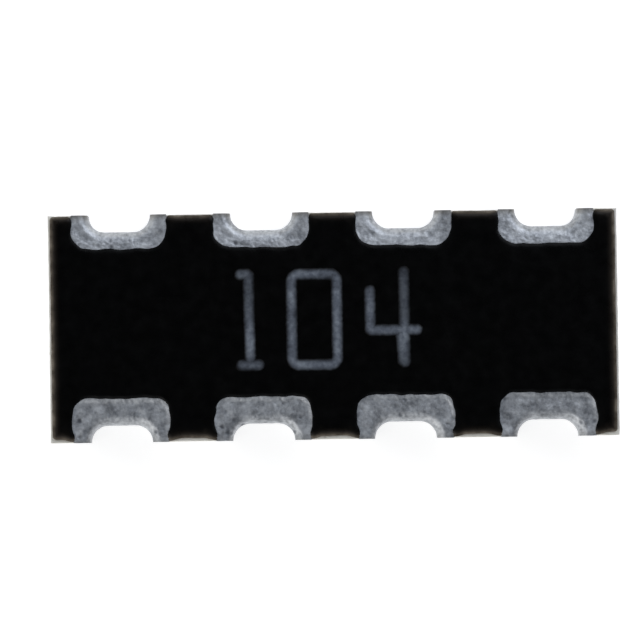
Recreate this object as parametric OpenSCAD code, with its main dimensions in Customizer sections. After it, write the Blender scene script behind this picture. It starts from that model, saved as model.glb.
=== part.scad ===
// Chip resistor network: separate thick-film resistors on one alumina chip,
// each joined to two facing terminals that wrap round half-obround notches in the long edges.
// +X runs along the rows of terminals, +Y across them, +Z up from the solder lands.
// Terminals count anticlockwise seen from above, from the -X end of the -Y edge.

/* [Chip] */
// Number of resistors, each joining one pair of facing terminals
resistors = 4; // [2:1:6]
// Distance between neighbouring terminals along an edge
pitch = 1.27; // [1.1:0.01:2]
// Distance from the last terminal's centre to the end of the ceramic
end_margin = 0.635; // [0.5:0.005:1.2]
// Width of the ceramic across the two rows of terminals
chip_w = 2.03; // [1.8:0.01:3.2]
// Thickness of the bare ceramic
ceramic_t = 0.52; // [0.3:0.01:0.8]
// Width of the bevel that the score lines leave under the two snapped ends
score_w = 0.02; // [0.005:0.005:0.05]
// Height of that bevel
score_h = 0.12; // [0.05:0.01:0.15]

/* [Terminal notches] */
// Width of a bare notch along the edge
notch_w = 0.61; // [0.5:0.01:0.66]
// Depth of a bare notch from the edge, which is also the radius of its round ends
notch_d = 0.18; // [0.1:0.005:0.2]
// Rounding of the ceramic where a notch meets the top and bottom faces
rim_r = 0.06; // [0.02:0.005:0.08]

/* [Terminal films] */
// Thickness of the silver electrode film
electrode_t = 0.012; // [0.008:0.001:0.02]
// Thickness of the nickel barrier
nickel_t = 0.005; // [0.003:0.001:0.01]
// Thickness of the tin finish
tin_t = 0.01; // [0.005:0.001:0.02]
// How far the electrode runs in from the edge on the top face
electrode_reach = 0.56; // [0.54:0.01:0.65]
// How far the electrode runs under the overcoat on each side of its pad
electrode_tuck = 0.03; // [0.01:0.005:0.08]
// Width of a solder land on the bottom face
land_w = 0.85; // [0.8:0.01:0.98]
// Depth of a solder land from the edge
land_d = 0.42; // [0.35:0.01:0.55]
// Corner radius of a solder land's inner corners
land_r = 0.1; // [0.04:0.01:0.18]

/* [Resistor films] */
// Width of a resistor film
resistor_w = 0.55; // [0.4:0.01:0.7]
// Thickness of a resistor film
resistor_t = 0.012; // [0.008:0.001:0.02]
// How far a resistor film laps onto each electrode
resistor_lap = 0.1; // [0.05:0.005:0.1]
// Length of the slope where a resistor film climbs onto an electrode
resistor_ramp = 0.05; // [0.02:0.005:0.1]
// Thickness of the glass coat over a resistor film
glass_t = 0.01; // [0.006:0.001:0.02]
// How far the glass coat runs past a resistor film all round
glass_margin = 0.03; // [0.01:0.005:0.04]
// Width of the laser trim cut
trim_w = 0.035; // [0.02:0.005:0.05]
// How far the first resistor's trim cut goes in from the film's side
trim_depth = 0.22; // [0.1:0.01:0.26]
// How much deeper the cut goes on each next resistor
trim_step = 0.02; // [0:0.005:0.02]
// Length of the trim cut's leg along the film
trim_leg = 0.25; // [0.1:0.01:0.3]

/* [Overcoat] */
// Thickness of the black overcoat above the glass coats
overcoat_t = 0.016; // [0.01:0.001:0.03]
// Thickness of the overcoat above the electrodes at its border
overcoat_edge_t = 0.01; // [0.005:0.001:0.012]
// Width of the slope along the overcoat's border
overcoat_slope = 0.05; // [0.02:0.005:0.1]
// Bare margin of ceramic round the overcoat
overcoat_inset = 0.018; // [0.012:0.001:0.04]
// How far the overcoat's outline was printed off centre, towards +Y
overcoat_shift = 0.01; // [0:0.001:0.01]
// Width of a pad window in the overcoat
window_w = 0.85; // [0.8:0.01:0.95]
// Depth of a pad window from the edge of the ceramic
window_d = 0.3465; // [0.32:0.0005:0.36]
// Corner radius of a pad window's inner corners
window_r = 0.14; // [0.05:0.01:0.18]
// How far the windows were printed off centre, towards +Y
window_shift = 0.0425; // [0:0.0005:0.05]

/* [Hidden] */
$fn = 48;
terminals = 2 * resistors;
chip_l = (resistors - 1) * pitch + 2 * end_margin;
plating_t = nickel_t + tin_t;
film_t = electrode_t + plating_t;
base_z = film_t;
top_z = base_z + ceramic_t;
mound_t = electrode_t + resistor_t + glass_t;
notch_run = notch_w / 2 - notch_d;
rim_reach = notch_d + rim_r;
middle_z = base_z + ceramic_t / 2;
electrode_w = window_w + 2 * electrode_tuck;
flange = max(electrode_reach, land_d) + max(electrode_w, land_w) / 2;
film_gap = chip_w - 2 * electrode_reach;
cut_over = 0.2;

// Where things sit

function column_x(k) = (k - (resistors + 1) / 2) * pitch;
function in_front(i) = i <= resistors;
function terminal_x(i) = column_x(in_front(i) ? i : terminals + 1 - i);
function pad_depth(i) = window_d + (in_front(i) ? window_shift : -window_shift);

// Puts a shape drawn at the -Y edge, with y as the distance in from it, at terminal i
module at_terminal(i) {
    translate([terminal_x(i), in_front(i) ? -chip_w / 2 : chip_w / 2, 0])
        rotate(in_front(i) ? 0 : 180)
            children();
}

module at_top() {
    translate([0, 0, top_z]) children();
}

// Flat outlines, with y as the distance in from the edge

// A pad open at the edge, with its two inner corners rounded
module pad_outline(w, d, r, tip = 0) {
    translate([-w / 2, tip]) square([w, d - r - tip]);
    translate([r - w / 2, tip]) square([w - 2 * r, d - tip]);
    for (side = [-1, 1])
        translate([side * (w / 2 - r), d - r]) circle(r);
}

// The notch together with its rounded rim
module notch_outline() {
    translate([-notch_run, -rim_reach]) square([2 * notch_run, 2 * rim_reach]);
    for (side = [-1, 1])
        translate([side * notch_run, 0]) circle(rim_reach);
}

// Sections across the notch wall: x is the distance from the notch's long axis, y the height

// The ceramic beside a notch, rounded at top and bottom, grown by a film thickness
// and carried out by a reach past the rounding
module wall_section(grown, reach) {
    r = rim_r + grown;
    translate([notch_d - grown, base_z + rim_r]) square([r, ceramic_t - 2 * rim_r]);
    translate([rim_reach, base_z - grown]) square([reach, ceramic_t + 2 * grown]);
    for (corner = [[top_z - rim_r, 0], [base_z + rim_r, -r]])
        intersection() {
            translate([rim_reach, corner[0]]) circle(r);
            translate([notch_d - grown, corner[0] + corner[1]]) square(r);
        }
}

module film_section(thickness) {
    difference() {
        wall_section(thickness, flange);
        wall_section(0, flange);
    }
}

// Carries a section round a notch: along its flat back and round both ends, past the chip's edge
module round_notch() {
    for (side = [-1, 1])
        translate([side * notch_run, 0, 0]) rotate(side * -90)
            rotate_extrude(angle = 180) children();
    rotate([90, 0, 90]) linear_extrude(2 * notch_run, center = true) children();
}

// Terminals, drawn at the -Y edge

// All metal within a thickness of the ceramic:
// child 0 is its outline on the upper half of the chip, child 1 the one on the lower half
module wrap(thickness) {
    intersection() {
        round_notch() film_section(thickness);
        union() {
            translate([0, 0, middle_z]) linear_extrude(top_z) children(0);
            translate([0, 0, middle_z - top_z]) linear_extrude(top_z) children(1);
        }
    }
}

module land_outline(plated, tip) {
    pad_outline(land_w - 2 * plated, land_d - plated, land_r - plated, tip);
}

module window_outline(i, tip) {
    pad_outline(window_w, pad_depth(i), window_r, tip);
}

module electrode_outline() {
    pad_outline(electrode_w, electrode_reach, window_r, plating_t);
}

module silver_wrap() {
    wrap(electrode_t) {
        electrode_outline();
        land_outline(plating_t, plating_t);
    }
}

module nickel_wrap(i) {
    wrap(electrode_t + nickel_t) {
        window_outline(i, tin_t);
        land_outline(tin_t, tin_t);
    }
}

module tin_wrap(i) {
    wrap(film_t) {
        window_outline(i, 0);
        land_outline(0, 0);
    }
}

// Parts

// What the score lines take off the bottom edges of the two ends
module score_bevels() {
    for (side = [0, 1])
        mirror([side, 0, 0]) translate([-chip_l / 2, 0, base_z])
            rotate([90, 0, 0]) linear_extrude(chip_w + 2 * cut_over, center = true)
                polygon([
                    [score_w, 0], [0, score_h], [-cut_over, score_h],
                    [-cut_over, -cut_over], [score_w, -cut_over]
                ]);
}

// What a notch takes out of the chip, flaring at top and bottom
module notch() {
    difference() {
        translate([0, 0, base_z - cut_over])
            linear_extrude(ceramic_t + 2 * cut_over) notch_outline();
        round_notch() wall_section(0, rim_r);
    }
}

module substrate() {
    color("whitesmoke") difference() {
        rotate([90, 0, 90]) linear_extrude(chip_l, center = true)
            translate([-chip_w / 2, base_z]) square([chip_w, ceramic_t]);
        for (i = [1:terminals])
            at_terminal(i) notch();
        score_bevels();
    }
}

module electrode(i) {
    color("gainsboro") at_terminal(i) silver_wrap();
}

module nickel_barrier(i) {
    color("darkgray") at_terminal(i) difference() {
        nickel_wrap(i);
        silver_wrap();
    }
}

module terminal(i) {
    color("slategray") at_terminal(i) difference() {
        tin_wrap(i);
        nickel_wrap(i);
    }
}

// The film lies on the ceramic and climbs onto the electrode at each end
module resistor_film(k) {
    g = film_gap / 2;
    lap = g + resistor_lap;
    foot = top_z + electrode_t;
    crest = foot + resistor_t;
    translate([column_x(k), 0, 0]) rotate([90, 0, 90]) linear_extrude(resistor_w, center = true)
        polygon([
            [-g, top_z], [g, top_z], [g, foot], [lap, foot], [lap, crest], [g, crest],
            [g - resistor_ramp, top_z + resistor_t], [resistor_ramp - g, top_z + resistor_t],
            [-g, crest], [-lap, crest], [-lap, foot], [-g, foot]
        ]);
}

// An L-shaped laser cut: in from the +X side of the film, then along it
module trim_cut(k) {
    depth = trim_depth + trim_step * (k - 1);
    side = resistor_w / 2 + glass_margin + cut_over;
    turn = resistor_w / 2 - depth;
    translate([column_x(k), -trim_leg / 2, top_z - cut_over])
        linear_extrude(mound_t + 2 * cut_over) {
            translate([turn, -trim_w / 2]) square([side - turn, trim_w]);
            translate([turn - trim_w / 2, 0]) square([trim_w, trim_leg]);
            for (y = [0, trim_leg])
                translate([turn, y]) circle(trim_w / 2);
        }
}

module resistor(k) {
    color("dimgray") difference() {
        resistor_film(k);
        trim_cut(k);
    }
}

module glass_block(k) {
    w = resistor_w + 2 * glass_margin;
    l = film_gap + 2 * (resistor_lap + glass_margin);
    translate([column_x(k) - w / 2, -l / 2, top_z]) cube([w, l, mound_t]);
}

// The electrode films on the top face, as the coats over them meet them
module electrode_pads() {
    for (i = [1:terminals])
        at_terminal(i) at_top() linear_extrude(electrode_t) electrode_outline();
}

module glass_coat(k) {
    color("darkseagreen") difference() {
        glass_block(k);
        resistor_film(k);
        electrode_pads();
        trim_cut(k);
    }
}

// A slab whose border slopes down on all four sides
module overcoat_slab() {
    crest = mound_t + overcoat_t;
    border = electrode_t + overcoat_edge_t;
    l = chip_l - 2 * overcoat_inset;
    w = chip_w - 2 * overcoat_inset;
    translate([0, overcoat_shift, top_z]) intersection() {
        rotate([90, 0, 0]) linear_extrude(w, center = true) sloped_section(l, border, crest);
        rotate([90, 0, 90]) linear_extrude(l, center = true) sloped_section(w, border, crest);
    }
}

module sloped_section(span, border, crest) {
    half = span / 2;
    flat = half - overcoat_slope;
    polygon([[-half, 0], [half, 0], [half, border], [flat, crest], [-flat, crest], [-half, border]]);
}

module overcoat() {
    color("black") difference() {
        overcoat_slab();
        for (i = [1:terminals])
            at_terminal(i) at_top()
                translate([0, 0, -cut_over]) linear_extrude(mound_t + overcoat_t + 2 * cut_over)
                    window_outline(i, -cut_over);
        electrode_pads();
        for (k = [1:resistors])
            difference() {
                glass_block(k);
                trim_cut(k);
            }
    }
}

substrate();
for (i = [1:terminals]) {
    electrode(i);
    nickel_barrier(i);
    terminal(i);
}
for (k = [1:resistors]) {
    resistor(k);
    glass_coat(k);
}
overcoat();
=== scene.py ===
import math

import bmesh
import bpy
import numpy as np
from mathutils import Matrix, Vector, noise
from mathutils.geometry import delaunay_2d_cdt


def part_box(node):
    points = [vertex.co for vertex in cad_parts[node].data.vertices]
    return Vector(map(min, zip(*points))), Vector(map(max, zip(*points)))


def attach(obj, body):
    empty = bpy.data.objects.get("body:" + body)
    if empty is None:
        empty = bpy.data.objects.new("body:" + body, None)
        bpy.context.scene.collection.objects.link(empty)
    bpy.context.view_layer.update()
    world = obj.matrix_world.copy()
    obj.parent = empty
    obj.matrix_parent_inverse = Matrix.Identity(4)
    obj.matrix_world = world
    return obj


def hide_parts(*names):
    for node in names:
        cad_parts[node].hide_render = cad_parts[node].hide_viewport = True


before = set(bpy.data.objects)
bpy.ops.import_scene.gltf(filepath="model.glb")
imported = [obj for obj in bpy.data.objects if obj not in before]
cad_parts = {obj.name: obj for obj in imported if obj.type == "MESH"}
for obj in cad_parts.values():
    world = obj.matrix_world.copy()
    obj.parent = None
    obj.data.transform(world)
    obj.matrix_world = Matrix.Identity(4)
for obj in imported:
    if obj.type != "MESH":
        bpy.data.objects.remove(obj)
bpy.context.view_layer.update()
scene = bpy.context.scene
mm = 0.001  # sizes below are in millimetres, meshes in metres
hair = 0.001  # a height that doesn't show
doubled = 2e-5  # points of a mesh that are this close are one
snapGap = 1e-6  # and so are those of a flat outline
tiny = 1e-9  # and a length that counts as none
print("frame loaded with", len(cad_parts), "nodes")


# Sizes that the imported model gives

def boxMm(node):
    low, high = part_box(node)
    return np.array(low) / mm, np.array(high) / mm


terminalCount = sum(name.startswith("terminal_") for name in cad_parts)
perRow = terminalCount // 2
frontRow = [f"terminal_{i + 1}" for i in range(perRow)]
backRow = [f"terminal_{i + 1 + perRow}" for i in range(perRow)]
chipLow, chipHigh = boxMm("substrate")
coatLow, coatHigh = boxMm("overcoat")
baseZ, topZ = chipLow[2], chipHigh[2]
edgeY = chipHigh[1]
filmThickness = baseZ  # the lands stand on z = 0, so the chip's underside is one stack of films up
columnX = [float(np.mean([corner[0] for corner in boxMm(name)])) for name in frontRow]
pitch = columnX[1] - columnX[0]
landLow, landHigh = boxMm("terminal_1")
landWidth = landHigh[0] - landLow[0]
landDepth = landHigh[1] - landLow[1]


# How far a terminal's upper pad runs in from the edge
def padReach(node):
    points = np.array([vertex.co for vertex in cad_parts[node].data.vertices]) / mm
    upper = points[points[:, 2] > topZ + hair]
    return edgeY - np.abs(upper[:, 1]).min()


padDepths = [padReach(row[0]) for row in (frontRow, backRow)]


# One function adds a node, with its settings, its values and links by socket, and a ramp's stops. A link
# from a node is from its first output in use. A mix has its share at 0, numbers at 2 and 3 and colours
# at 6 and 7
def addNode(tree, kind, inputs=None, stops=None, **settings):
    node = tree.nodes.new(kind)
    for key, value in settings.items():
        setattr(node, key, value)
    for key, value in (inputs or {}).items():
        if isinstance(value, bpy.types.Node):
            value = next(socket for socket in value.outputs if socket.enabled)
        if isinstance(value, bpy.types.NodeSocket):
            tree.links.new(value, node.inputs[key])
        else:
            node.inputs[key].default_value = value
    if stops:
        elements = node.color_ramp.elements
        while len(elements) < len(stops):
            elements.new(1.0)
        for element, (place, colour) in zip(elements, stops):
            element.position = place
            element.color = hexColour(colour)
    return node


def hexColour(code):
    channels = [int(code[i:i + 2], 16) / 255 for i in (1, 3, 5)]
    linear = [c / 12.92 if c <= 0.04045 else ((c + 0.055) / 1.055) ** 2.4 for c in channels]
    return (*linear, 1.0)


def perMm(size):  # texture scale in metres for a pattern whose features are this many mm
    return 1 / (size * mm)


def startMaterial(name):
    material = bpy.data.materials.new(name)
    material.use_nodes = True
    material.node_tree.nodes.clear()
    return material, material.node_tree


# Matte tin, barrel plated: soft grey and grainy, with faint pits whose darkness is painted shade, and darker,
# browner tin near the chip's snapped edge
def makeTin():
    material, tree = startMaterial("matte_plated_tin")
    place = addNode(tree, "ShaderNodeTexCoord").outputs["Object"]
    blotch = addNode(tree, "ShaderNodeTexNoise", {"Vector": place, "Scale": perMm(0.11), "Detail": 4.0,
                     "Roughness": 0.6})
    # tin crystals of about 0.005 mm are too fine to show, so they are drawn coarser
    grain = addNode(tree, "ShaderNodeTexNoise", {"Vector": place, "Scale": perMm(0.028), "Detail": 3.0})
    spots = addNode(tree, "ShaderNodeTexVoronoi", {"Vector": place, "Scale": perMm(0.085)})
    sparse = addNode(tree, "ShaderNodeTexNoise", {"Vector": place, "Scale": perMm(0.2)})
    pit = addNode(tree, "ShaderNodeMapRange", {"Value": spots, "From Min": 0.4,
                  "From Max": 0.08}, interpolation_type="SMOOTHSTEP")
    where = addNode(tree, "ShaderNodeMapRange", {"Value": sparse, "From Min": 0.5,
                    "From Max": 0.66}, interpolation_type="SMOOTHSTEP")
    pitted = addNode(tree, "ShaderNodeMath", {0: pit, 1: where}, operation="MULTIPLY")
    mingled = addNode(tree, "ShaderNodeMix", {0: 0.45, 2: blotch, 3: grain})
    tone = addNode(tree, "ShaderNodeValToRGB", {"Fac": mingled},
                   [(0.36, "#8f9296"), (0.5, "#b2b5b9"), (0.64, "#cccfd2")])
    # the pits are sunk by the bump and also coloured darker: that darkness is painted shade in the hollows
    pitShaded = addNode(tree, "ShaderNodeMix", {0: pitted, 6: tone, 7: hexColour("#6a6d72")}, data_type="RGBA")
    # the tin is coloured darker and browner near the chip's edge, more on the back row
    tip = addNode(tree, "ShaderNodeAttribute", attribute_name="tip")
    tipDarkened = addNode(tree, "ShaderNodeMix", {0: tip.outputs["Fac"], 6: pitShaded,
                   7: hexColour("#8b8780")}, data_type="RGBA")
    rough = addNode(tree, "ShaderNodeMapRange", {"Value": blotch, "From Min": 0.3,
                    "From Max": 0.7, "To Min": 0.44, "To Max": 0.56})
    bumps = addNode(tree, "ShaderNodeMath", {0: grain, 1: pitted}, operation="SUBTRACT")
    relief = addNode(tree, "ShaderNodeBump", {"Height": bumps, "Strength": 1.0, "Distance": 0.003 * mm})
    shader = addNode(tree, "ShaderNodeBsdfPrincipled", {"Base Color": tipDarkened, "Metallic": 1.0,
                     "Roughness": rough, "Normal": relief})
    addNode(tree, "ShaderNodeOutputMaterial", {"Surface": shader})
    return material


# Black epoxy resin, screen printed and cured: deep black, faintly uneven, and a feathered brown border
# where the film thins out and the white ceramic begins to show through
def makeResin():
    material, tree = startMaterial("printed_black_resin")
    place = addNode(tree, "ShaderNodeTexCoord").outputs["Object"]
    thin = addNode(tree, "ShaderNodeAttribute", attribute_name="thin")
    mottle = addNode(tree, "ShaderNodeTexNoise", {"Vector": place, "Scale": perMm(0.12), "Detail": 4.0})
    wander = addNode(tree, "ShaderNodeMapRange", {"Value": mottle, "From Min": 0.3,
                     "From Max": 0.7, "To Min": 0.8, "To Max": 1.1})
    feather = addNode(tree, "ShaderNodeMath", {0: thin.outputs["Fac"], 1: wander}, operation="MULTIPLY")
    tone = addNode(tree, "ShaderNodeValToRGB", {"Fac": feather}, [(0.0, "#030303"), (0.3, "#14110e"),
                   (0.6, "#241f1a"), (0.85, "#4a433a"), (1.0, "#756d62")])
    rough = addNode(tree, "ShaderNodeMapRange", {"Value": mottle, "From Min": 0.3,
                    "From Max": 0.7, "To Min": 0.24, "To Max": 0.36})
    # filler grains of about 0.01 mm lift the resin's skin, drawn coarser so that they show
    skin = addNode(tree, "ShaderNodeTexNoise", {"Vector": place, "Scale": perMm(0.03), "Detail": 2.0})
    relief = addNode(tree, "ShaderNodeBump", {"Height": skin, "Strength": 1.0, "Distance": 0.0008 * mm})
    shader = addNode(tree, "ShaderNodeBsdfPrincipled", {"Base Color": tone, "Roughness": rough,
                     "Specular IOR Level": 0.12, "Normal": relief})
    addNode(tree, "ShaderNodeOutputMaterial", {"Surface": shader})
    return material


# White alumina, as fired with snapped edges: chalk white, fine sandy grain, a few grey specks
def makeAlumina():
    material, tree = startMaterial("fired_white_alumina")
    place = addNode(tree, "ShaderNodeTexCoord").outputs["Object"]
    # fired grains of about 0.004 mm, drawn coarser so that they show
    grain = addNode(tree, "ShaderNodeTexNoise", {"Vector": place, "Scale": perMm(0.012), "Detail": 3.0})
    cloud = addNode(tree, "ShaderNodeTexNoise", {"Vector": place, "Scale": perMm(0.2), "Detail": 3.0})
    specks = addNode(tree, "ShaderNodeTexVoronoi", {"Vector": place, "Scale": perMm(0.09)})
    chance = addNode(tree, "ShaderNodeSeparateXYZ", {"Vector": specks.outputs["Color"]})
    breadth = addNode(tree, "ShaderNodeMapRange", {"Value": chance, "From Min": 0.6, "To Max": 0.26})
    speck = addNode(tree, "ShaderNodeMapRange", {"Value": specks,
                    "From Min": breadth, "From Max": 0.0, "To Max": 0.8})
    tone = addNode(tree, "ShaderNodeValToRGB", {"Fac": cloud}, [(0.3, "#dfdcd2"), (0.7, "#f1efe8")])
    dotted = addNode(tree, "ShaderNodeMix", {0: speck, 6: tone, 7: hexColour("#aaa79e")}, data_type="RGBA")
    crumbs = addNode(tree, "ShaderNodeTexNoise", {"Vector": place, "Scale": perMm(0.045), "Detail": 4.0,
                     "Roughness": 0.65})
    broken = addNode(tree, "ShaderNodeMix", {0: 0.65, 2: grain, 3: crumbs})
    relief = addNode(tree, "ShaderNodeBump", {"Height": broken, "Strength": 1.0, "Distance": 0.012 * mm})
    shader = addNode(tree, "ShaderNodeBsdfPrincipled", {
        "Base Color": dotted, "Roughness": 0.62, "Normal": relief})
    addNode(tree, "ShaderNodeOutputMaterial", {"Surface": shader})
    return material


# Grey marking ink, stamped thin: dull blue grey, cloudy where the resin shows through, fading at its edges
def makeInk():
    material, tree = startMaterial("stamped_grey_ink")
    place = addNode(tree, "ShaderNodeTexCoord").outputs["Object"]
    cloud = addNode(tree, "ShaderNodeTexNoise", {"Vector": place, "Scale": perMm(0.17), "Detail": 3.0})
    # pigment of a few thousandths of a millimetre, drawn coarser so that it shows
    speckle = addNode(tree, "ShaderNodeTexNoise", {"Vector": place, "Scale": perMm(0.04), "Detail": 3.0})
    mottle = addNode(tree, "ShaderNodeMix", {0: 0.4, 2: cloud, 3: speckle})
    tone = addNode(tree, "ShaderNodeValToRGB", {"Fac": mottle},
                   [(0.34, "#43474f"), (0.5, "#616771"), (0.66, "#7f868f")])
    depth = addNode(tree, "ShaderNodeAttribute", attribute_name="depth")
    full = addNode(tree, "ShaderNodeMapRange", {"Value": depth.outputs["Fac"], "From Min": 0.2})
    pressed = addNode(tree, "ShaderNodeAttribute", attribute_name="pressure")
    dense = addNode(tree, "ShaderNodeMath", {0: full, 1: 2.2}, operation="POWER")
    cover = addNode(tree, "ShaderNodeMath", {0: dense, 1: pressed.outputs["Fac"]}, operation="MULTIPLY")
    faded = addNode(tree, "ShaderNodeMix", {0: cover, 6: hexColour("#060607"), 7: tone}, data_type="RGBA")
    relief = addNode(tree, "ShaderNodeBump", {"Height": speckle, "Strength": 1.0, "Distance": 0.002 * mm})
    shader = addNode(tree, "ShaderNodeBsdfPrincipled", {"Base Color": faded, "Roughness": 0.4,
                     "Specular IOR Level": 0.12, "Normal": relief})
    addNode(tree, "ShaderNodeOutputMaterial", {"Surface": shader})
    return material


# The fired and plated films inside: each has its own colours, gloss and grain, drawn coarser than the real
# grains of a few thousandths of a millimetre so that it shows
hiddenFilms = {
    "electrode_": {"name": "fired_silver_film", "dark": "#a9a49c", "light": "#d8d4cc", "grain": 0.015,
                   "metallic": 1.0, "rough": (0.4, 0.55), "relief": 0.002},
    "nickel_barrier_": {"name": "plated_nickel", "dark": "#8d8980", "light": "#b9b4a8", "grain": 0.025,
                        "metallic": 1.0, "rough": (0.25, 0.38), "relief": 0.0008},
    "resistor_": {"name": "fired_ruthenium_oxide", "dark": "#141416", "light": "#2e2e33", "grain": 0.02,
                  "metallic": 0.0, "rough": (0.5, 0.7), "relief": 0.0015},
    "glass_coat_": {"name": "fired_green_glass", "dark": "#3a5a48", "light": "#6f9079", "grain": 0.08,
                    "metallic": 0.0, "rough": (0.12, 0.25), "relief": 0.0008},
}


def makeFilm(look):
    material, tree = startMaterial(look["name"])
    place = addNode(tree, "ShaderNodeTexCoord").outputs["Object"]
    grain = addNode(tree, "ShaderNodeTexNoise", {"Vector": place, "Scale": perMm(look["grain"]),
                    "Detail": 3.0})
    tone = addNode(tree, "ShaderNodeValToRGB", {"Fac": grain}, [(0.3, look["dark"]), (0.7, look["light"])])
    rough = addNode(tree, "ShaderNodeMapRange", {"Value": grain, "To Min": look["rough"][0],
                    "To Max": look["rough"][1]})
    relief = addNode(tree, "ShaderNodeBump", {"Height": grain, "Strength": 1.0,
                     "Distance": look["relief"] * mm})
    shader = addNode(tree, "ShaderNodeBsdfPrincipled", {"Base Color": tone, "Metallic": look["metallic"],
                     "Roughness": rough, "Normal": relief})
    addNode(tree, "ShaderNodeOutputMaterial", {"Surface": shader})
    return material


for prefix, look in hiddenFilms.items():
    filmMaterial = makeFilm(look)
    for name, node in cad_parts.items():
        if name.startswith(prefix):
            node.data.materials.clear()
            node.data.materials.append(filmMaterial)
tinMaterial = makeTin()
resinMaterial = makeResin()
aluminaMaterial = makeAlumina()
inkMaterial = makeInk()
print("materials made:", len(bpy.data.materials))


# Merges a mesh's doubled points, turns its faces outwards and reports how it came out
def closeUp(mesh):
    work = bmesh.new()
    work.from_mesh(mesh)
    bmesh.ops.remove_doubles(work, verts=work.verts, dist=doubled * mm)
    bmesh.ops.dissolve_degenerate(work, edges=work.edges, dist=doubled / 2 * mm)
    bmesh.ops.recalc_face_normals(work, faces=work.faces)
    loose = sum(not edge.is_manifold for edge in work.edges)
    work.to_mesh(mesh)
    work.free()
    print(mesh.name, "has", len(mesh.polygons), "faces and", loose, "open edges")


# Makes an object from points in millimetres
def makePiece(name, points, faces, weights=None):
    mesh = bpy.data.meshes.new(name)
    mesh.from_pydata((np.asarray(points, float) * mm).tolist(), [], faces)
    for key, values in (weights or {}).items():
        mesh.attributes.new(key, "FLOAT", "POINT").data.foreach_set("value", np.asarray(values, np.float32))
    closeUp(mesh)
    piece = bpy.data.objects.new(name, mesh)
    scene.collection.objects.link(piece)
    return piece


def smoothPiece(piece, look):
    piece.data.shade_smooth()
    piece.data.set_sharp_from_angle(angle=math.radians(look["smoothAngle"]))


# Starts a geometry tree with a geometry socket at each end and named inputs
def startTree(name, inputs):
    tree = bpy.data.node_groups.new(name, "GeometryNodeTree")
    tree.interface.new_socket("Geometry", in_out="INPUT", socket_type="NodeSocketGeometry")
    for label, kind in inputs.items():
        tree.interface.new_socket(label, in_out="INPUT", socket_type=kind)
    tree.interface.new_socket("Geometry", in_out="OUTPUT", socket_type="NodeSocketGeometry")
    return tree


# Runs a tree on a piece and keeps the result as the piece's plain mesh
def runTree(piece, tree, values):
    modifier = piece.modifiers.new(tree.name, "NODES")
    modifier.node_group = tree
    for socket in tree.interface.items_tree:
        if socket.in_out == "INPUT" and socket.name in values:
            modifier[socket.identifier] = values[socket.name]
    drawn = piece.evaluated_get(bpy.context.evaluated_depsgraph_get())
    mesh = bpy.data.meshes.new_from_object(drawn)
    piece.modifiers.clear()
    started = piece.data
    piece.data = mesh
    bpy.data.meshes.remove(started)
    mesh.name = piece.name


# Notches in the chip's long edges, which the films wrap
notch = {
    "width": 0.61,  # along the edge, in the bare ceramic
    "depth": 0.18,  # and the radius of its round ends
    "rimRadius": 0.06,
}
notchRun = notch["width"] / 2 - notch["depth"]  # half of its straight floor

# Windows that the overcoat leaves at the pads, where two sizes are given for the front and the back row
windows = {
    "radii": (0.112, 0.156),
    "bows": (0.014, 0.0),  # how far the sides bulge
    "bowSkew": 1.4,  # above 1, most of the bulge is near the inner corners
    "pinches": (0.036, 0.002),  # how far the resin closes in on the arms at the chip's edge
    "pinchRun": 0.14,
    "creeps": (0.024, 0.0),  # and how far it creeps out along them, over the electrode's corners
    "creepWidth": 0.02,
    "creepStart": 0.03,
    "creepRun": 0.08,
    "waver": 0.022,  # the print's edge wanders by this much over the tin
    "tuck": 0.011,  # which runs this far under it, but for the bare tips
    "tipRun": 0.1,
}

# Terminals: one tin sheet is swept round a notch, then plated along each row
tinFinish = {
    "thickness": 0.01,
    "landRadius": 0.1,
    "beadWidths": (0.06, 0.13),  # tin piles up against the overcoat, all over the back row's narrow pads
    "beadHeight": 0.011,
    "beadStart": -0.04,  # the bead grows inwards from here, a little outside the chip's edge
    "sag": 0.006,  # the pad falls away towards the chip's edge
    "tipLength": 0.07,  # stretch at the snapped edge where the tin is coloured darker and browner
    "tipDarkening": (0.3, 0.75),
    "trueRun": 0.03,  # the skin is even this close to its borders
    "unevenness": 0.008,
    "lumpSize": 0.05,
    "seed": 11,
    "turnStep": 2,  # degrees between columns round the notch's ends
    "straightColumns": 32,
    "pointCounts": (17, 12, 14, 9, 3),  # over the pad, round a rim, down the wall, over the land, up its side
    "smoothAngle": 50,
}


def smoothStep(low, high, value):
    t = np.clip((value - low) / (high - low), 0, 1)
    return t * t * (3 - 2 * t)


# How far a window's side stands out, at a distance from the chip's edge, over its straight length
def sideBow(bow, fromEdge, straight):
    return bow * np.sin(math.pi * np.clip(fromEdge / straight, 0, 1) ** windows["bowSkew"])


# Distance from a point on the notch's axis to the border of a pad with round inner corners and bowed sides,
# and a rim that is tucked under the overcoat except at the tips
def rayToPad(start, along, inward, width, depth, radius, bow=0.0, tuck=0.0):
    half = width / 2 + tuck
    depth += tuck
    radius += tuck
    reach = depth / inward if inward > tiny else math.inf
    if abs(along) > tiny:
        reach = min(reach, (half - math.copysign(start, start * along)) / abs(along))
    u = start + along * reach
    v = inward * reach
    if abs(u) > half - radius and v > depth - radius:
        du = start - math.copysign(half - radius, u)
        dv = radius - depth
        b = du * along + dv * inward
        reach = -b + math.sqrt(b * b - (du * du + dv * dv - radius * radius))
    elif v < depth - radius:
        bare = tuck * (1 - smoothStep(0, windows["tipRun"], v))
        reach += (sideBow(bow, v, depth - radius) - bare) / abs(along)
    return reach


# Directions in which the section is carried round the notch, from one tip to the other
def notchColumns(look):
    turns = np.radians(np.arange(180, 89, -look["turnStep"]))
    left = [(-notchRun, math.cos(turn), math.sin(turn)) for turn in turns]
    middle = [(u, 0.0, 1.0) for u in np.linspace(-notchRun, notchRun, look["straightColumns"])[1:-1]]
    right = [(-u, -along, inward) for u, along, inward in reversed(left)]
    return left + middle + right


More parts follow.
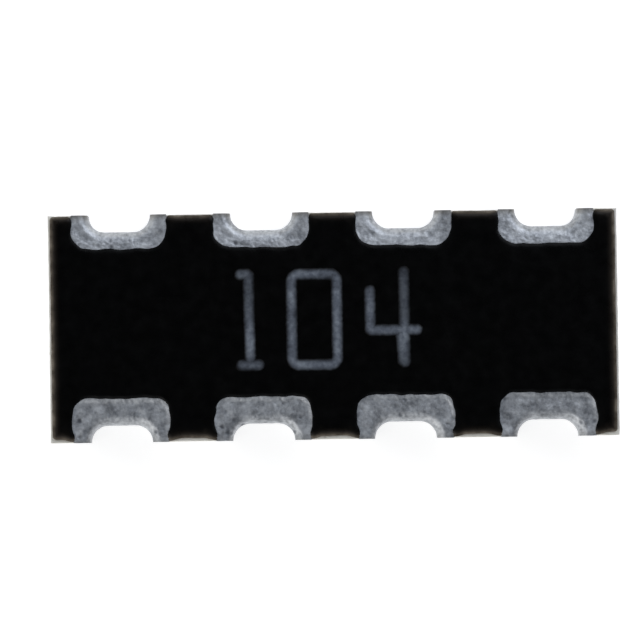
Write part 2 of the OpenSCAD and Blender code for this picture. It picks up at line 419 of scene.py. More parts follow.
# One column of the sheet, from the overcoat's border over the rim, down the wall and out to the land's side
def sheetColumn(look, column, upper, lower, offset, side):
    start, along, inward = column
    onPad, onRim, onWall, onLand, onSide = look["pointCounts"]
    rim = notch["rimRadius"]
    centre = notch["depth"] + rim
    radius = rim + offset
    quarter = np.linspace(0, math.pi / 2, onRim)[1:]
    flat = upper + (centre - upper) * np.linspace(0, 1, onPad)
    wall = np.linspace(topZ - rim, baseZ + rim, onWall)[1:]
    land = np.linspace(centre, lower - side, onLand)[1:]
    rise = np.linspace(baseZ - offset, baseZ, onSide)[1:]
    x = np.concatenate([flat, centre - radius * np.sin(quarter), np.full(len(wall), centre - radius),
                        centre - radius * np.cos(quarter), land, np.full(len(rise), lower - side)])
    z = np.concatenate([np.full(onPad, topZ + offset), topZ - rim + radius * np.cos(quarter), wall,
                        baseZ + rim - radius * np.sin(quarter), np.full(len(land), baseZ - offset), rise])
    return np.stack([start + along * x, inward * x, z], axis=1), x


# Faces of a sheet's outer and inner side, then of its upper and lower border and of its two tips
def sheetFaces(outer, inner, height):
    faces = []
    for first, count in ((0, outer), (outer, len(inner))):
        for j in range(first, first + count - 1):
            for i in range(height - 1):
                a, b = j * height + i, (j + 1) * height + i
                faces.append((a, a + 1, b + 1, b) if first == 0 else (b, b + 1, a + 1, a))
    for spot in range(len(inner) - 1):
        for i in (0, height - 1):
            ring = [inner[spot] * height + i, inner[spot + 1] * height + i,
                    (outer + spot + 1) * height + i, (outer + spot) * height + i]
            faces.append(tuple(dict.fromkeys(ring)))
    for outerTip, innerTip in ((0, outer), (outer - 1, outer + len(inner) - 1)):
        for i in range(height - 1):
            a, b = outerTip * height + i, innerTip * height + i
            faces.append((a, b, b + 1, a + 1))
    return faces


# A row's sheet of tin, with row 0 at the front and row 1 at the back
def makeSheet(name, row):
    look = tinFinish
    padDepth = padDepths[row]
    beadWidth = look["beadWidths"][row]
    even = look["trueRun"]
    shape = (landWidth, padDepth, windows["radii"][row], windows["bows"][row], windows["tuck"])
    columns = notchColumns(look)
    last = len(columns) - 1
    upper = [rayToPad(*c, *shape) for c in columns]
    lower = [rayToPad(*c, landWidth, landDepth, look["landRadius"]) for c in columns]
    points, skin, tip = [], [], []
    for column, far, out in zip(columns, upper, lower):
        line, x = sheetColumn(look, column, far, out, filmThickness, 0.0)
        fromEdge = line[:, 1].copy()
        fromBorder = np.where(line[:, 2] > topZ, far - x, beadWidth)
        bead = (1 - smoothStep(0, beadWidth, fromBorder)) * smoothStep(look["beadStart"], padDepth, fromEdge)
        fall = 1 - np.clip(fromEdge / padDepth, 0, 1)
        upside = smoothStep(topZ - notch["rimRadius"], topZ, line[:, 2])
        edge = smoothStep(look["tipLength"], 0, fromEdge)
        line[:, 2] += upside * (look["beadHeight"] * bead - look["sag"] * fall)
        free = smoothStep(0, even, fromEdge) * smoothStep(0, even, np.abs(far - x))
        points.append(line)
        skin.append(free * smoothStep(0, even, line[:, 2]))
        tip.append(look["tipDarkening"][row] * edge * smoothStep(0, topZ, line[:, 2]))
    # the inner side lies on the nickel, and at both tips the tin closes down to the ceramic
    inner = [0, 1] + list(range(1, last)) + [last - 1, last]
    for spot, index in enumerate(inner):
        capped = spot < 2 or spot > len(inner) - 3
        offset = 0.0 if capped else filmThickness - look["thickness"]
        points.append(sheetColumn(look, columns[index], upper[index], lower[index], offset,
                                  look["thickness"])[0])
        skin.append(np.zeros(len(points[-1])))
        tip.append(np.zeros(len(points[-1])))
    return makePiece(name, np.concatenate(points), sheetFaces(len(columns), inner, len(points[0])),
                     {"skin": np.concatenate(skin), "tip": np.concatenate(tip)})


# Sets a sheet at every notch of a row, then makes each one's surface uneven in its own way
def makePlatingTree():
    tree = startTree("plate_a_row", {
        "Count": "NodeSocketInt", "First": "NodeSocketVector", "Step": "NodeSocketVector",
        "Turn": "NodeSocketFloat", "Unevenness": "NodeSocketFloat", "Lump Size": "NodeSocketFloat",
        "Seed": "NodeSocketFloat", "Material": "NodeSocketMaterial"})
    given = addNode(tree, "NodeGroupInput").outputs
    line = addNode(tree, "GeometryNodeMeshLine", {"Count": given["Count"], "Start Location": given["First"],
                   "Offset": given["Step"]})
    turn = addNode(tree, "ShaderNodeCombineXYZ", {"Z": given["Turn"]})
    facing = addNode(tree, "FunctionNodeEulerToRotation", {"Euler": turn})
    sheets = addNode(tree, "GeometryNodeInstanceOnPoints", {"Points": line, "Instance": given["Geometry"],
                     "Rotation": facing})
    solid = addNode(tree, "GeometryNodeRealizeInstances", {"Geometry": sheets})
    scale = addNode(tree, "ShaderNodeMath", {0: 1.0, 1: given["Lump Size"]}, operation="DIVIDE")
    lumps = addNode(tree, "ShaderNodeTexNoise", {"Scale": scale, "Detail": 1.0,
                    "W": given["Seed"]}, noise_dimensions="4D")
    centred = addNode(tree, "ShaderNodeMath", {0: lumps, 1: 0.5}, operation="SUBTRACT")
    high = addNode(tree, "ShaderNodeMath", {0: centred, 1: given["Unevenness"]}, operation="MULTIPLY")
    skin = addNode(tree, "GeometryNodeInputNamedAttribute", {"Name": "skin"}, data_type="FLOAT")
    kept = addNode(tree, "ShaderNodeMath", {0: high, 1: skin}, operation="MULTIPLY")
    out = addNode(tree, "GeometryNodeInputNormal")
    push = addNode(tree, "ShaderNodeVectorMath", {0: out, "Scale": kept}, operation="SCALE")
    uneven = addNode(tree, "GeometryNodeSetPosition", {"Geometry": solid, "Offset": push})
    dressed = addNode(tree, "GeometryNodeSetMaterial", {"Geometry": uneven, "Material": given["Material"]})
    addNode(tree, "NodeGroupOutput", {"Geometry": dressed})
    return tree


platingTree = makePlatingTree()
tinRows = (("tin_finish_front", frontRow, -1), ("tin_finish_back", backRow, 1))
for row, (name, pads, side) in enumerate(tinRows):
    plating = makeSheet(name, row)
    plating.data.materials.append(tinMaterial)
    runTree(plating, platingTree, {
        "Count": perRow, "First": (columnX[0] * mm, side * edgeY * mm, 0.0), "Step": (pitch * mm, 0.0, 0.0),
        "Turn": math.pi if side > 0 else 0.0, "Unevenness": tinFinish["unevenness"] * mm,
        "Lump Size": tinFinish["lumpSize"] * mm, "Seed": float(tinFinish["seed"]), "Material": tinMaterial})
    smoothPiece(plating, tinFinish)
    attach(plating, "root")
    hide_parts(*pads)
    print(name, "plated:", len(plating.data.polygons), "faces")


# Loops: closed outlines seen from above, whose points are measured a batch at a time to spare memory
batch = 2000


def distanceToLoop(points, loop):
    ahead = np.roll(loop, -1, axis=0) - loop
    lengths = np.maximum((ahead ** 2).sum(axis=1), tiny ** 2)
    away = np.empty(len(points))
    for first in range(0, len(points), batch):
        gap = points[first:first + batch, None, :] - loop[None]
        t = np.clip((gap * ahead[None]).sum(axis=2) / lengths, 0, 1)
        away[first:first + batch] = np.linalg.norm(gap - t[:, :, None] * ahead[None], axis=2).min(axis=1)
    return away


# Carries values given along a loop over to points, with the nearest ones counting most
def spreadFromLoop(points, loop, values, soft):
    spread = np.empty(len(points))
    for first in range(0, len(points), batch):
        gap = points[first:first + batch, None, :] - loop[None]
        pull = ((gap ** 2).sum(axis=2) + soft * soft) ** -2
        spread[first:first + batch] = pull @ values / pull.sum(axis=1)
    return spread


def insideLoop(points, loop):
    x0, y0 = loop[:, 0], loop[:, 1]
    x1, y1 = np.roll(x0, -1), np.roll(y0, -1)
    inside = np.zeros(len(points), bool)
    for a, b, c, d in zip(x0, y0, x1, y1):
        if b != d:
            crossed = (b > points[:, 1]) != (d > points[:, 1])
            inside ^= crossed & (points[:, 0] < (c - a) * (points[:, 1] - b) / (d - b) + a)
    return inside


def loopNormals(loop):
    run = np.roll(loop, -1, axis=0) - np.roll(loop, 1, axis=0)
    run /= np.linalg.norm(run, axis=1)[:, None]
    return np.stack([-run[:, 1], run[:, 0]], axis=1)  # inwards on an anticlockwise loop


# A closed outline through corners given as x, y and rounding, with points about a step apart
def roundedLoop(corners, step):
    spots = np.array([corner[:2] for corner in corners], float)
    arcs = []
    for i, (x, y, radius) in enumerate(corners):
        back = spots[i - 1] - spots[i]
        ahead = spots[(i + 1) % len(spots)] - spots[i]
        back, ahead = back / np.linalg.norm(back), ahead / np.linalg.norm(ahead)
        bend = math.pi - math.acos(np.clip(back @ ahead, -1, 1))
        cut = radius * math.tan(bend / 2)
        first, last = spots[i] + back * cut, spots[i] + ahead * cut
        centre = spots[i] + (back + ahead) / np.linalg.norm(back + ahead) * radius / math.cos(bend / 2)
        count = max(3, math.ceil(radius * bend / step * 2)) if radius else 0
        arc = []
        for t in np.linspace(0, 1, count + 1):
            spoke = (first - centre) * math.sin((1 - t) * bend) + (last - centre) * math.sin(t * bend)
            arc.append(centre + spoke / math.sin(bend))
        arcs.append(np.array(arc) if radius else spots[i:i + 1])
    loop = []
    for i, arc in enumerate(arcs):
        start, end = arc[-1], arcs[(i + 1) % len(arcs)][0]
        count = max(2, math.ceil(np.linalg.norm(end - start) / step))
        loop += [*arc, *(start + (end - start) * t for t in np.linspace(0, 1, count + 1)[1:-1])]
    return np.array(loop)


# Points of a grid that lie inside a loop and keep clear of it
def gridInside(loop, low, high, step, clear):
    xs, ys = (np.arange(low[i], high[i], step) for i in (0, 1))
    grid = np.array([(x, y) for x in xs for y in ys])
    return grid[(distanceToLoop(grid, loop) > clear) & insideLoop(grid, loop)]


# Triangles between loops and free points, with the middle of each
def triangulate(loops, free):
    points, edges = [], []
    for loop in loops:
        first, count = len(points), len(loop)
        points += [Vector(p) for p in loop]
        edges += [(first + i, first + (i + 1) % count) for i in range(count)]
    points += [Vector(p) for p in free]
    drawn = delaunay_2d_cdt(points, edges, [], 0, snapGap)
    flat, triangles = np.array([tuple(p) for p in drawn[0]]), drawn[2]
    return flat, triangles, np.array([flat[list(triangle)].mean(axis=0) for triangle in triangles])


# Overcoat: a printed film with soft lips, bitten out at every pad, that lies over the films below
overcoat = {
    "cornerRadius": 0.035,
    "mouthRadius": 0.02,
    "mouthRun": 0.04,  # the border passes into a window over this run
    "endZone": 0.05,  # and is all border this close to the chip's ends
    "electrodeRadius": 0.14,  # corners of the films that run in under it
    "underSteps": (0.06, 0.012),  # spacing of points along the glass coats and the electrodes
    "step": 0.02,
    "waver": 0.005,  # how far the print's edge wanders in
    "waverSize": 0.09,
    "borderLip": (0.019, 0.075),  # height of the edge above the ceramic, and run up to the crest
    "windowLip": (0.037, 0.05),
    "lipPower": 2.4,  # how full the lips are
    "lipBlend": 0.012,  # the two pass into each other over about this much
    "feather": 0.085,  # how far in the border looks thin
    "insets": (0.002, 0.006, 0.012, 0.02, 0.03, 0.042, 0.056, 0.075, 0.1),
    "fineInset": 0.05,  # rings of points further in than this have every second point
    "ringSlack": 0.97,  # and a point goes where it is nearer to the edge than this share of its inset
    "gridStep": 0.08,
    "gridClear": 0.04,
    "dip": 0.006,  # the top sinks between the glass coats
    "dipRun": 0.16,
    "seed": 3.7,
    "smoothAngle": 40,
}
glassBoxes = [boxMm(name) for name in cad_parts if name.startswith("glass_coat_")]


# How far the overcoat's top sinks at points with no glass coat under them
def coatDip(spots):
    away = np.full(len(spots), np.inf)
    for low, high in glassBoxes:
        beside = np.maximum(np.maximum(low[:2] - spots, spots - high[:2]), 0)
        away = np.minimum(away, np.linalg.norm(beside, axis=1))
    return overcoat["dip"] * smoothStep(0, overcoat["dipRun"], away)


def coatCorners(look):
    half = landWidth / 2 + windows["tuck"]
    corners = []
    for side, padDepth, radius in zip((-1, 1), padDepths, windows["radii"]):
        radius += windows["tuck"]
        border = coatLow[1] if side < 0 else coatHigh[1]
        inner = side * (edgeY - padDepth - windows["tuck"])
        corners.append((side * coatHigh[0], border, look["cornerRadius"]))
        for x in columnX if side < 0 else reversed(columnX):
            corners += [(x + side * half, border, look["mouthRadius"]),
                        (x + side * half, inner, radius),
                        (x - side * half, inner, radius),
                        (x - side * half, border, look["mouthRadius"])]
        corners.append((-side * coatHigh[0], border, look["cornerRadius"]))
    return corners


# Bows the windows' sides, and draws the resin in on the arms and out along them at the chip's edge
def bendWindows(loop):
    half = landWidth / 2 + windows["tuck"]
    across = loop[:, :1] - np.array(columnX)
    across = across[np.arange(len(loop)), np.abs(across).argmin(axis=1)]
    fromEdge = edgeY - np.abs(loop[:, 1])
    bent = loop.copy()
    for k, side in enumerate((-1, 1)):
        here = loop[:, 1] * side > 0
        straight = padDepths[k] - windows["radii"][k]
        bulge = sideBow(windows["bows"][k], fromEdge, straight)
        closing = windows["pinches"][k] * (1 - smoothStep(0, windows["pinchRun"], fromEdge))
        creep = windows["creeps"][k] * (1 - smoothStep(windows["creepStart"], windows["creepRun"], fromEdge))
        beside = np.abs(across) - half - windows["creepWidth"]
        fade = here * (1 - smoothStep(0, windows["creepRun"], beside))
        bent[:, 0] += np.sign(across) * (bulge - closing) * fade
        bent[:, 1] += side * creep * fade
    return bent


# The print's wandering outline, with how far each point counts as a window's edge
def coatOutline(look):
    loop = bendWindows(roundedLoop(coatCorners(look), look["step"]))
    onEnds = np.abs(loop[:, 0]) > coatHigh[0] - look["endZone"]
    atWindow = np.where(onEnds, 0.0, smoothStep(0.0, look["mouthRun"], loop[:, 1] - coatLow[1])
                        * smoothStep(0.0, look["mouthRun"], coatHigh[1] - loop[:, 1]))
    size = look["waverSize"]
    drift = np.array([noise.noise((x / size, y / size, look["seed"])) for x, y in loop])
    waver = look["waver"] * (1 - atWindow) - windows["waver"] * atWindow
    return loop + loopNormals(loop) * (waver * (0.5 + 0.5 * drift))[:, None], atWindow


# Points within the outline: rings that follow it, then a grid
def coatSpots(look, loop):
    inward = loopNormals(loop)
    spots = []
    for inset in look["insets"]:
        every = 1 if inset < look["fineInset"] else 2
        ring = loop[::every] + inward[::every] * inset
        spots.append(ring[(distanceToLoop(ring, loop) > look["ringSlack"] * inset) & insideLoop(ring, loop)])
    clear = look["insets"][-1] + look["gridClear"]
    return np.concatenate([*spots, gridInside(loop, coatLow, coatHigh, look["gridStep"], clear)])


# What the film lies over, as heights and outlines: glass coats and the electrodes that run under it
def filmsUnder(look):
    glassStep, electrodeStep = look["underSteps"]
    films = [(low, high, 0, 0, glassStep) for low, high in glassBoxes]
    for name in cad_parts:
        if name.startswith("electrode_"):
            low, high = boxMm(name)
            low, high = np.maximum(low, coatLow), np.minimum(high, coatHigh)
            radii = (0, look["electrodeRadius"]) if low[1] < 0 else (look["electrodeRadius"], 0)
            films.append((low, high, *radii, electrodeStep))
    return [(high[2], roundedLoop([(low[0], low[1], near), (high[0], low[1], near),
                                   (high[0], high[1], far), (low[0], high[1], far)], step))
            for low, high, near, far, step in films]


def makeOvercoat():
    look = overcoat
    loop, atWindow = coatOutline(look)
    under = filmsUnder(look)
    loops = [loop] + [outline for level, outline in under]
    flat, triangles, middles = triangulate(loops, coatSpots(look, loop))
    levels = np.full(len(middles), topZ)
    for level, outline in reversed(under):
        levels[insideLoop(middles, outline)] = level
    away = distanceToLoop(flat, loop)
    window = spreadFromLoop(flat, loop, atWindow, look["lipBlend"])
    crest = coatHigh[2] - topZ - coatDip(flat)
    lips = []
    for start, run in (look["borderLip"], look["windowLip"]):
        climb = 1 - (1 - np.clip(away / run, 0, 1)) ** look["lipPower"]
        lips.append(start + (crest - start) * climb)
    crown = topZ + lips[0] * (1 - window) + lips[1] * window
    thin = (1 - smoothStep(0, look["feather"], away)) * (1 - window)
    inside = insideLoop(middles, loop)
    kept = [triangle for triangle, within in zip(triangles, inside) if within]
    return buildFilm("resin_overcoat", flat, kept, levels[inside], crown, thin)


# A film over steps: one flat triangulation gives its top, its underside and the walls between levels
def buildFilm(name, flat, triangles, levels, crown, thin):
    points = [(x, y, z) for (x, y), z in zip(flat, crown)]
    floors = {}
    faces = [tuple(triangle) for triangle in triangles]
    borders = {}
    for triangle, level in zip(triangles, levels):
        for corner in triangle:
            if (corner, level) not in floors:
                floors[corner, level] = len(points)
                points.append((*flat[corner], level))
        faces.append(tuple(floors[corner, level] for corner in reversed(triangle)))
        for a, b in zip(triangle, (*triangle[1:], triangle[0])):
            borders.setdefault(frozenset((a, b)), []).append((a, b, level))
    heights = {}
    for corner, level in floors:
        heights.setdefault(corner, []).append(level)

    def climb(corner, low, high):  # the corner's points from one height up to another
        steps = [floors[corner, level] for level in sorted(heights[corner]) if low <= level <= high]
        return steps + [corner] if high == math.inf else steps

    for sides in borders.values():
        a, b, low = sides[0]
        high = math.inf if len(sides) == 1 else sides[1][2]
        if low == high:
            continue
        low, high = min(low, high), max(low, high)
        faces.append(tuple(climb(a, low, high) + climb(b, low, high)[::-1]))
    return makePiece(name, points, faces, {"thin": [*thin, *(thin[corner] for corner, level in floors)]})


coat = makeOvercoat()
coat.data.materials.append(resinMaterial)
smoothPiece(coat, overcoat)
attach(coat, "root")
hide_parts("overcoat")


# Ceramic chip: lofted up its walls, with round-rimmed notches, scored ends and rough snapped sides
ceramic = {
    "scoreWidth": 0.02,
    "scoreHeight": 0.12,
    "edgeBreak": 0.006,
    "roughness": 0.007,  # depth of the broken surface
    "scoredShare": 0.35,  # share of it at the foot of the walls, which was scored before they were snapped
    "snapHeights": (0.1, 0.2),  # it grows to the whole between these
    "trueRun": 0.05,  # films wrap the notches, so the wall stays true this close to each mouth
    "lumpSize": 0.035,
    "octaves": (0.9, 2.1, 3),  # how fast the finer lumps fade, how much finer they are, and how many times
    "seed": 8.3,
    "riseCounts": (9, 18),  # levels round a rim and up the wall
    "pointCounts": (25, 13, 7, 62),  # along a wall, round a notch's end, along its floor and the chip's end
    "gridStep": 0.16,
    "gridClear": 0.05,
    "smoothAngle": 35,
}


# One level of the chip's outline, each point with how far it counts as snapped wall
def chipLevel(look, grown, scored, broken):
    radius, run = notch["depth"] + grown, notchRun
    endX, wallY = chipHigh[0] - scored - broken, edgeY - broken
    onWall, onTurn, onFloor, onEnd = look["pointCounts"]
    mouths = [(x - run - radius, x + run + radius) for x in columnX]
    starts = [-endX] + [mouth[1] for mouth in mouths]
    ends = [mouth[0] for mouth in mouths] + [endX]
    turns = np.linspace(math.pi, math.pi / 2, onTurn)
    row = []
    for i, (start, end) in enumerate(zip(starts, ends)):
        for x in np.linspace(start, end, onWall):
            toNotch = min(abs(x - edge) for mouth in mouths for edge in mouth)
            row.append((x, -wallY, smoothStep(0, look["trueRun"], toNotch)))
        if i < len(columnX):
            x = columnX[i]
            row += [(x - run + radius * math.cos(t), radius * math.sin(t) - edgeY, 0) for t in turns[1:]]
            row += [(x - run + 2 * run * t, radius - edgeY, 0) for t in np.linspace(0, 1, onFloor)[1:]]
            row += [(x + run - radius * math.cos(t), radius * math.sin(t) - edgeY, 0) for t in turns[-2:0:-1]]
    row += [(endX, y, 1) for y in np.linspace(-wallY, wallY, onEnd)[1:-1]]
    half = np.array(row, float)
    return np.concatenate([half, half * (-1, -1, 1)])


# Heights of the levels above the underside, closer together round the notches' rims
def chipRises(look, height):
    rim = notch["rimRadius"]
    onRim, onWall = look["riseCounts"]
    quarter = np.linspace(0, 1, onRim)
    rises = np.concatenate([rim * (1 - np.cos(quarter * math.pi / 2)),
                            np.linspace(rim, height - rim, onWall)[1:-1],
                            height - rim * (1 - np.cos(quarter[::-1] * math.pi / 2)),
                            [look["edgeBreak"], height - look["edgeBreak"]]])
    return np.unique(rises.round(6))


# A level's points in place, pushed in where the wall is rough
def chipRing(look, rise, height):
    rim = notch["rimRadius"]
    deep = max(rim - rise, rim - (height - rise), 0.0)
    grown = rim - math.sqrt(max(rim * rim - deep * deep, 0.0))
    scored = look["scoreWidth"] * max(0.0, 1 - rise / look["scoreHeight"])
    broken = max(0.0, look["edgeBreak"] - rise, look["edgeBreak"] - (height - rise))
    ring = chipLevel(look, grown, scored, broken)
    outline, z = ring[:, :2], baseZ + rise
    share = look["scoredShare"]
    snapped = share + (1 - share) * float(smoothStep(*look["snapHeights"], rise))
    size = look["lumpSize"]
    places = [(x / size, y / size, z / size + look["seed"]) for x, y in outline]
    rough = np.array([0.5 + 0.5 * noise.fractal(place, *look["octaves"]) for place in places])
    push = np.clip(rough, 0, 1) * ring[:, 2] * look["roughness"] * snapped
    return np.column_stack([outline + loopNormals(outline) * push[:, None], np.full(len(ring), z)])


def makeChip():
    look = ceramic
    height = topZ - baseZ
    levels = [chipRing(look, rise, height) for rise in chipRises(look, height)]
    count = len(levels[0])
    points = [tuple(p) for level in levels for p in level]
    faces = []
    for k in range(len(levels) - 1):
        for i in range(count):
            j = (i + 1) % count
            faces.append((k * count + i, k * count + j, (k + 1) * count + j, (k + 1) * count + i))
    for level, z, order in ((levels[0], baseZ, -1), (levels[-1], topZ, 1)):
        loop = level[:, :2]
        grid = gridInside(loop, chipLow, chipHigh, look["gridStep"], look["gridClear"])
        flat, triangles, middles = triangulate([loop], grid)
        first = len(points)
        points += [(x, y, z) for x, y in flat]
        for triangle, within in zip(triangles, insideLoop(middles, loop)):
            if within:
                faces.append(tuple(first + corner for corner in triangle[::order]))
    return makePiece("alumina_chip", points, faces)


chip = makeChip()
chip.data.materials.append(aluminaMaterial)
smoothPiece(chip, ceramic)
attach(chip, "root")
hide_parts("substrate")


# Value code: strokes drawn as lines on the overcoat, as a standard resistance code, each point given as
# x, y and how hard the stamp pressed there
valueCode = {
    "strokes": [
        [(-0.878, 0.464, 0.66), (-0.716, 0.464, 0.66)],
        [(-0.755, 0.505, 0.58), (-0.753, 0.3, 0.48), (-0.752, 0.1, 0.74), (-0.747, -0.12, 1.2),
         (-0.745, -0.34, 0.65)],
        [(-0.876, -0.344, 0.7), (-0.75, -0.344, 0.75), (-0.618, -0.344, 0.58)],
        [(-0.372, 0.459, 0.98), (-0.372, -0.349, 0.95), (0.033, -0.349, 1.0), (0.033, 0.459, 1.05),
         (-0.372, 0.459, 0.98)],
        [(0.326, 0.355, 0.85), (0.328, -0.09, 1.05)],
        [(0.288, -0.048, 0.95), (0.795, -0.048, 0.9)],
        [(0.63, 0.52, 0.48), (0.633, 0.08, 0.48), (0.632, -0.05, 0.95), (0.632, -0.22, 0.75),
         (0.637, -0.385, 0.45)],
        [(0.6, -0.05, 0.95), (0.612, -0.22, 0.75), (0.62, -0.375, 0.45)],
    ],
    "strokeWidth": 0.108,
    "inkHeight": 0.004,
    "cornerRadius": 0.068,
    "raggedness": 0.016,
    "raggedSize": 0.035,
    "seed": 5,
    "smoothAngle": 50,
}


# Inks the value code's strokes: rounds their corners and ends, sweeps a low crown along them, frays it and
# joins the strokes that cross
def makeInkTree():
    tree = startTree("ink_the_strokes", {
        "Stroke Width": "NodeSocketFloat", "Ink Height": "NodeSocketFloat",
        "Corner Radius": "NodeSocketFloat", "Raggedness": "NodeSocketFloat", "Ragged Size": "NodeSocketFloat",
        "Seed": "NodeSocketFloat", "Material": "NodeSocketMaterial"})
    given = addNode(tree, "NodeGroupInput").outputs
    lines = addNode(tree, "GeometryNodeMeshToCurve", {"Mesh": given["Geometry"]})
    bent = addNode(tree, "GeometryNodeFilletCurve", {"Curve": lines, "Count": 10,
                   "Radius": given["Corner Radius"], "Limit Radius": True}, mode="POLY")
    fine = addNode(tree, "GeometryNodeResampleCurve", {"Curve": bent, "Length": 0.006 * mm}, mode="LENGTH")
    half = addNode(tree, "ShaderNodeMath", {0: given["Stroke Width"], 1: 0.5}, operation="MULTIPLY")
    along = addNode(tree, "GeometryNodeSplineParameter").outputs["Length"]
    whole = addNode(tree, "GeometryNodeSplineLength").outputs["Length"]
    left = addNode(tree, "ShaderNodeMath", {0: whole, 1: along}, operation="SUBTRACT")
    toEnd = addNode(tree, "ShaderNodeMath", {0: along, 1: left}, operation="MINIMUM")
    short = addNode(tree, "ShaderNodeMapRange", {"Value": toEnd,
                    "From Max": half, "To Min": 0.96, "To Max": 0.0})
    squared = addNode(tree, "ShaderNodeMath", {0: short, 1: 2.0}, operation="POWER")
    rest = addNode(tree, "ShaderNodeMath", {0: 1.0, 1: squared}, operation="SUBTRACT")
    cap = addNode(tree, "ShaderNodeMath", {0: rest}, operation="SQRT")
    ring = addNode(tree, "GeometryNodeInputSplineCyclic").outputs["Cyclic"]
    girth = addNode(tree, "GeometryNodeSwitch", {"Switch": ring, "False": cap, "True": 1.0},
                    input_type="FLOAT")
    arc = addNode(tree, "GeometryNodeCurveArc", {"Resolution": 14, "Radius": 1.0, "Start Angle": math.pi,
                  "Sweep Angle": math.pi})
    size = addNode(tree, "ShaderNodeCombineXYZ", {"X": half, "Y": given["Ink Height"], "Z": 1.0})
    flat = addNode(tree, "GeometryNodeTransform", {"Geometry": arc, "Scale": size})
    closed = addNode(tree, "GeometryNodeSetSplineCyclic", {"Geometry": flat, "Cyclic": True})
    swept = addNode(tree, "GeometryNodeCurveToMesh", {"Curve": fine, "Profile Curve": closed, "Scale": girth,
                    "Fill Caps": True})
    scale = addNode(tree, "ShaderNodeMath", {0: 1.0, 1: given["Ragged Size"]}, operation="DIVIDE")
    fray = addNode(tree, "ShaderNodeTexNoise", {"Scale": scale, "Detail": 3.0,
                   "W": given["Seed"]}, noise_dimensions="4D")
    centred = addNode(tree, "ShaderNodeVectorMath", {0: fray.outputs["Color"], 1: (0.5, 0.5, 0.5)},
                      operation="SUBTRACT")
    reach = addNode(tree, "ShaderNodeCombineXYZ", {"X": given["Raggedness"], "Y": given["Raggedness"]})
    push = addNode(tree, "ShaderNodeVectorMath", {0: centred, 1: reach}, operation="MULTIPLY")
    ragged = addNode(tree, "GeometryNodeSetPosition", {"Geometry": swept, "Offset": push})
    joined = addNode(tree, "GeometryNodeMeshBoolean", {"Mesh 2": ragged,
                     "Self Intersection": True}, operation="UNION", solver="EXACT")
    # new points where strokes meet take the pressure of the stroke they lie on
    press = addNode(tree, "GeometryNodeInputNamedAttribute", {"Name": "pressure"}, data_type="FLOAT")
    spot = addNode(tree, "GeometryNodeSampleNearestSurface", {
        "Mesh": ragged, "Value": press}, data_type="FLOAT")
    inked = addNode(tree, "GeometryNodeStoreNamedAttribute", {"Geometry": joined, "Name": "pressure",
                    "Value": spot}, data_type="FLOAT", domain="POINT")
    solid = addNode(tree, "GeometryNodeRealizeInstances", {"Geometry": inked})
    dressed = addNode(tree, "GeometryNodeSetMaterial", {"Geometry": solid, "Material": given["Material"]})
    addNode(tree, "NodeGroupOutput", {"Geometry": dressed})
    return tree


def makeValueCode():
    look = valueCode
    mesh = bpy.data.meshes.new("value_code")
    points, edges, pressure = [], [], []
    for stroke in look["strokes"]:
        first = len(points)
        closed = stroke[0] == stroke[-1]
        ends = stroke[:-1] if closed else stroke
        points += [(x * mm, y * mm, coatHigh[2] * mm) for x, y, press in ends]
        pressure += [press for x, y, press in ends]
        edges += [(first + i, first + i + 1) for i in range(len(ends) - 1)]
        if closed:
            edges.append((first + len(ends) - 1, first))
    mesh.from_pydata(points, edges, [])
    mesh.attributes.new("pressure", "FLOAT", "POINT").data.foreach_set("value", pressure)
    code = bpy.data.objects.new("value_code", mesh)
    scene.collection.objects.link(code)
    runTree(code, makeInkTree(), {
        "Stroke Width": look["strokeWidth"] * mm, "Ink Height": look["inkHeight"] * mm,
        "Corner Radius": look["cornerRadius"] * mm, "Raggedness": look["raggedness"] * mm,
        "Ragged Size": look["raggedSize"] * mm, "Seed": float(look["seed"]), "Material": inkMaterial})
    # each point keeps how deep the ink is there, and the ink lies down on the overcoat
    inked = code.data
    closeUp(inked)
    places = np.empty(3 * len(inked.vertices), np.float32)
    inked.vertices.foreach_get("co", places)
    places = places.reshape(-1, 3) / mm
    depth = (places[:, 2] - coatHigh[2]) / look["inkHeight"]
    inked.attributes.new("depth", "FLOAT", "POINT").data.foreach_set("value", depth.astype(np.float32))
    places[:, 2] -= coatDip(places[:, :2])
    inked.vertices.foreach_set("co", (places * mm).ravel())
    return code


code = makeValueCode()
smoothPiece(code, valueCode)
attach(code, "root")


# Floor, light and camera
studio = {
    "floorSize": 400.0,
    "floorGlow": 0.8,
    "horizon": "#dfdcd6",
    "highSky": "#d6dde8",
    "overhead": "#303338",  # the camera's own shadow above the chip
    "overheadAngles": (24.0, 44.0),
    "shadeSide": (0.85, -0.5, 0.0),  # the studio is dimmer to the front right
    "shadeDepth": 0.8,
    "lamps": [  # place, power and colour: the main one behind, and a weak one in front on the left
        ((17.0, 23.0, 28.0), 0.0056, "#f0f5ff"),
        ((-22.0, -22.0, 24.0), 0.0032, "#fffaf2"),
    ],
    "lampSize": 30.0,
}


def makeFloor():
    half = studio["floorSize"] / 2 * mm
    mesh = bpy.data.meshes.new("floor")
    low = -hair * mm  # under the lands
    mesh.from_pydata([(-half, -half, low), (half, -half, low), (half, half, low), (-half, half, low)], [],
                     [(0, 1, 2, 3)])
    floor = bpy.data.objects.new("floor", mesh)
    scene.collection.objects.link(floor)
    material, tree = startMaterial("white_paper")
    shader = addNode(tree, "ShaderNodeBsdfPrincipled", {
        "Base Color": hexColour("#b2b2b2"), "Roughness": 0.9, "Specular IOR Level": 0.0,
        "Emission Color": (1.0, 1.0, 1.0, 1.0), "Emission Strength": studio["floorGlow"]})
    addNode(tree, "ShaderNodeOutputMaterial", {"Surface": shader})
    mesh.materials.append(material)


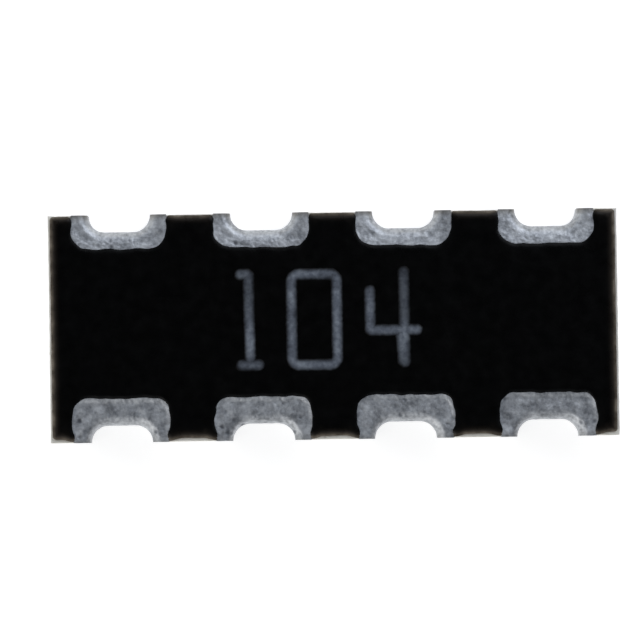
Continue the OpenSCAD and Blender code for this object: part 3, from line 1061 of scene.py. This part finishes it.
# Pale all round, dark straight above where the camera stands, so flat faces stay quiet and rims catch light
def makeSky():
    world = bpy.data.worlds.new("soft_studio")
    scene.world = world
    world.use_nodes = True
    tree = world.node_tree
    tree.nodes.clear()
    aim = addNode(tree, "ShaderNodeTexCoord")
    split = addNode(tree, "ShaderNodeSeparateXYZ", {"Vector": aim.outputs["Generated"]})
    near, wide = (math.cos(math.radians(angle)) for angle in studio["overheadAngles"])
    tone = addNode(tree, "ShaderNodeValToRGB", {"Fac": split.outputs["Z"]},
                   [(0.1, studio["horizon"]), (wide, studio["highSky"]), (near, studio["overhead"])])
    side = addNode(tree, "ShaderNodeVectorMath", {0: aim.outputs["Generated"], 1: studio["shadeSide"]},
                   operation="DOT_PRODUCT")
    shade = addNode(tree, "ShaderNodeMapRange", {"Value": side, "From Min": 0.05,
                    "From Max": 0.8, "To Max": studio["shadeDepth"]}, interpolation_type="SMOOTHSTEP")
    dimmed = addNode(tree, "ShaderNodeMix", {0: shade, 6: tone,
                     7: hexColour(studio["overhead"])}, data_type="RGBA")
    glow = addNode(tree, "ShaderNodeBackground", {"Color": dimmed, "Strength": 1.0})
    addNode(tree, "ShaderNodeOutputWorld", {"Surface": glow})


def makeLamps():
    for number, (place, power, colour) in enumerate(studio["lamps"], 1):
        light = bpy.data.lights.new(f"softbox_{number}", "AREA")
        light.energy = power
        light.color = hexColour(colour)[:3]
        light.size = studio["lampSize"] * mm
        lamp = bpy.data.objects.new(light.name, light)
        lamp.location = Vector(place) * mm
        lamp.rotation_euler = lamp.location.to_track_quat("Z", "Y").to_euler()
        lamp.visible_camera = False
        scene.collection.objects.link(lamp)


# The photograph looks straight down with a long lens, a little turned and leaning to the front edge
shot = {
    "lens": 400.0,
    "sensor": 36.0,
    "pixels": 640,
    "pixelsPerMm": 112.2,
    "chipPixel": (333.6, 325.4),
    "turn": 0.85,
    "lean": 1.1,
}


def makeCamera():
    turn, lean = math.radians(shot["turn"]), math.radians(shot["lean"])
    right = Vector((math.cos(turn), -math.sin(turn), 0))
    ahead = Vector((math.sin(turn), math.cos(turn), 0))
    back = Vector((0, 0, math.cos(lean))) - ahead * math.sin(lean)
    up = back.cross(right)
    offX, offY = ((p - shot["pixels"] / 2) / shot["pixelsPerMm"] for p in shot["chipPixel"])
    aim = Vector((0, 0, coatHigh[2])) - right * offX + ahead * offY
    distance = shot["lens"] / shot["sensor"] * shot["pixels"] / shot["pixelsPerMm"]
    lens = bpy.data.cameras.new("camera")
    lens.lens = shot["lens"]
    lens.sensor_width = shot["sensor"]
    lens.clip_start = 1 * mm
    lens.clip_end = 1000 * mm
    camera = bpy.data.objects.new("camera", lens)
    pose = Matrix((right, up, back)).transposed().to_4x4()
    pose.translation = (aim + back * distance) * mm
    camera.matrix_world = pose
    scene.collection.objects.link(camera)
    scene.camera = camera


makeFloor()
makeSky()
makeLamps()
makeCamera()
scene.view_settings.view_transform = "Standard"
print("studio set")
